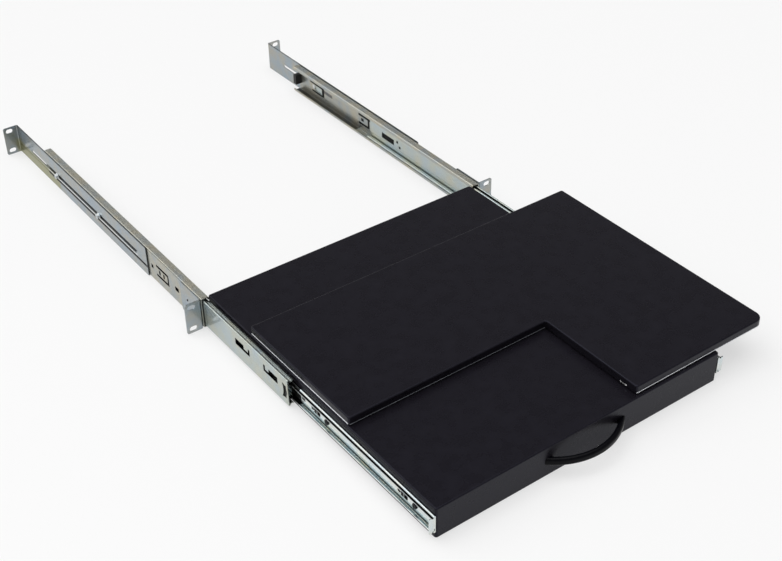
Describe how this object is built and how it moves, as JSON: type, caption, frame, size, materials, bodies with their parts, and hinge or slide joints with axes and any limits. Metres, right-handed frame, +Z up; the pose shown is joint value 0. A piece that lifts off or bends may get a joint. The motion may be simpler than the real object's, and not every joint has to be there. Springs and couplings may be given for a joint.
{
  "type": "rack keyboard shelf",
  "caption": "Sliding rack shelf on telescopic ball-bearing slides, with an L-shaped plate that swivels to hold a keyboard and a mouse.",
  "frame": {"origin": "midway between the front ears' slot pattern, in the plane of the ears' front faces", "axes": "+X to the right, +Y to the back of the rack, +Z up"},
  "size_m": [0.5264, 1.0181, 0.0543],
  "materials": {
    "zinc_steel": "zinc plated, satin",
    "cage_steel": "satin",
    "ball_steel": "polished",
    "zinc_hardware": "bright zinc",
    "black_hardware": "black oxide",
    "black_powder_coat": "satin powder coat",
    "black_plastic": "smooth",
    "black_rubber": "matt",
    "nylon": "natural nylon"
  },
  "bodies": {
    "rails": {"front_bracket_left": "zinc_steel", "front_bracket_right": "zinc_steel", "outer_slide_left": "zinc_steel", "outer_slide_right": "zinc_steel", "rear_stop_left": "black_rubber", "rear_stop_right": "black_rubber", "bracket_screws": "zinc_hardware", "slide_studs": "zinc_hardware", "stud_washers": "zinc_hardware", "stud_nuts": "zinc_hardware"},
    "drawer": {"tray": "black_powder_coat", "inner_slide_left": "zinc_steel", "inner_slide_right": "zinc_steel", "tray_bolts": "black_hardware", "tray_nuts": "zinc_hardware", "backing_plate": "zinc_hardware", "pivot_bearing": "nylon", "handle": "black_plastic", "handle_screws": "zinc_hardware"},
    "swivel": {"top_plate": "black_powder_coat", "pivot_hub": "zinc_hardware", "stop_pin": "zinc_hardware", "pivot_washer": "zinc_hardware", "pivot_nut": "zinc_hardware", "glides": "nylon"},
    "rear_mount_left": {"rear_bracket_left": "zinc_steel"},
    "middle_left": {"middle_slide_left": "zinc_steel"},
    "outer_race_left": {"outer_cage_left": "cage_steel", "outer_balls_left": "ball_steel"},
    "inner_race_left": {"inner_cage_left": "cage_steel", "inner_balls_left": "ball_steel"},
    "rear_mount_right": {"rear_bracket_right": "zinc_steel"},
    "middle_right": {"middle_slide_right": "zinc_steel"},
    "outer_race_right": {"outer_cage_right": "cage_steel", "outer_balls_right": "ball_steel"},
    "inner_race_right": {"inner_cage_right": "cage_steel", "inner_balls_right": "ball_steel"}
  },
  "joints": [
    {"name": "drawer_slide", "type": "slide", "parent": "rails", "child": "drawer", "axis": [0, 1, 0], "range_m": [0, 0.45]},
    {"name": "plate_swivel", "type": "hinge", "parent": "drawer", "child": "swivel", "pos_m": [0.0525, -0.2175, 0.0245], "axis": [0, 0, 1], "range_deg": [-90, 0]},
    {"name": "depth_adjust_left", "type": "slide", "parent": "rails", "child": "rear_mount_left", "axis": [0, 1, 0], "range_m": [-0.085, 0.105]},
    {"name": "middle_slide_left_travel", "type": "slide", "parent": "rails", "child": "middle_left", "axis": [0, 1, 0], "range_m": [0, 0.19]},
    {"name": "outer_cage_left_travel", "type": "slide", "parent": "rails", "child": "outer_race_left", "axis": [0, 1, 0], "range_m": [0, 0.095]},
    {"name": "inner_cage_left_travel", "type": "slide", "parent": "rails", "child": "inner_race_left", "axis": [0, 1, 0], "range_m": [0, 0.32]},
    {"name": "depth_adjust_right", "type": "slide", "parent": "rails", "child": "rear_mount_right", "axis": [0, 1, 0], "range_m": [-0.085, 0.105]},
    {"name": "middle_slide_right_travel", "type": "slide", "parent": "rails", "child": "middle_right", "axis": [0, 1, 0], "range_m": [0, 0.19]},
    {"name": "outer_cage_right_travel", "type": "slide", "parent": "rails", "child": "outer_race_right", "axis": [0, 1, 0], "range_m": [0, 0.095]},
    {"name": "inner_cage_right_travel", "type": "slide", "parent": "rails", "child": "inner_race_right", "axis": [0, 1, 0], "range_m": [0, 0.32]}
  ],
  "couplings": [
    {"joint": "middle_slide_left_travel", "follows": "drawer_slide", "ratio": 0.42222},
    {"joint": "outer_cage_left_travel", "follows": "drawer_slide", "ratio": 0.21111},
    {"joint": "inner_cage_left_travel", "follows": "drawer_slide", "ratio": 0.71111},
    {"joint": "middle_slide_right_travel", "follows": "drawer_slide", "ratio": 0.42222},
    {"joint": "outer_cage_right_travel", "follows": "drawer_slide", "ratio": 0.21111},
    {"joint": "inner_cage_right_travel", "follows": "drawer_slide", "ratio": 0.71111}
  ]
}
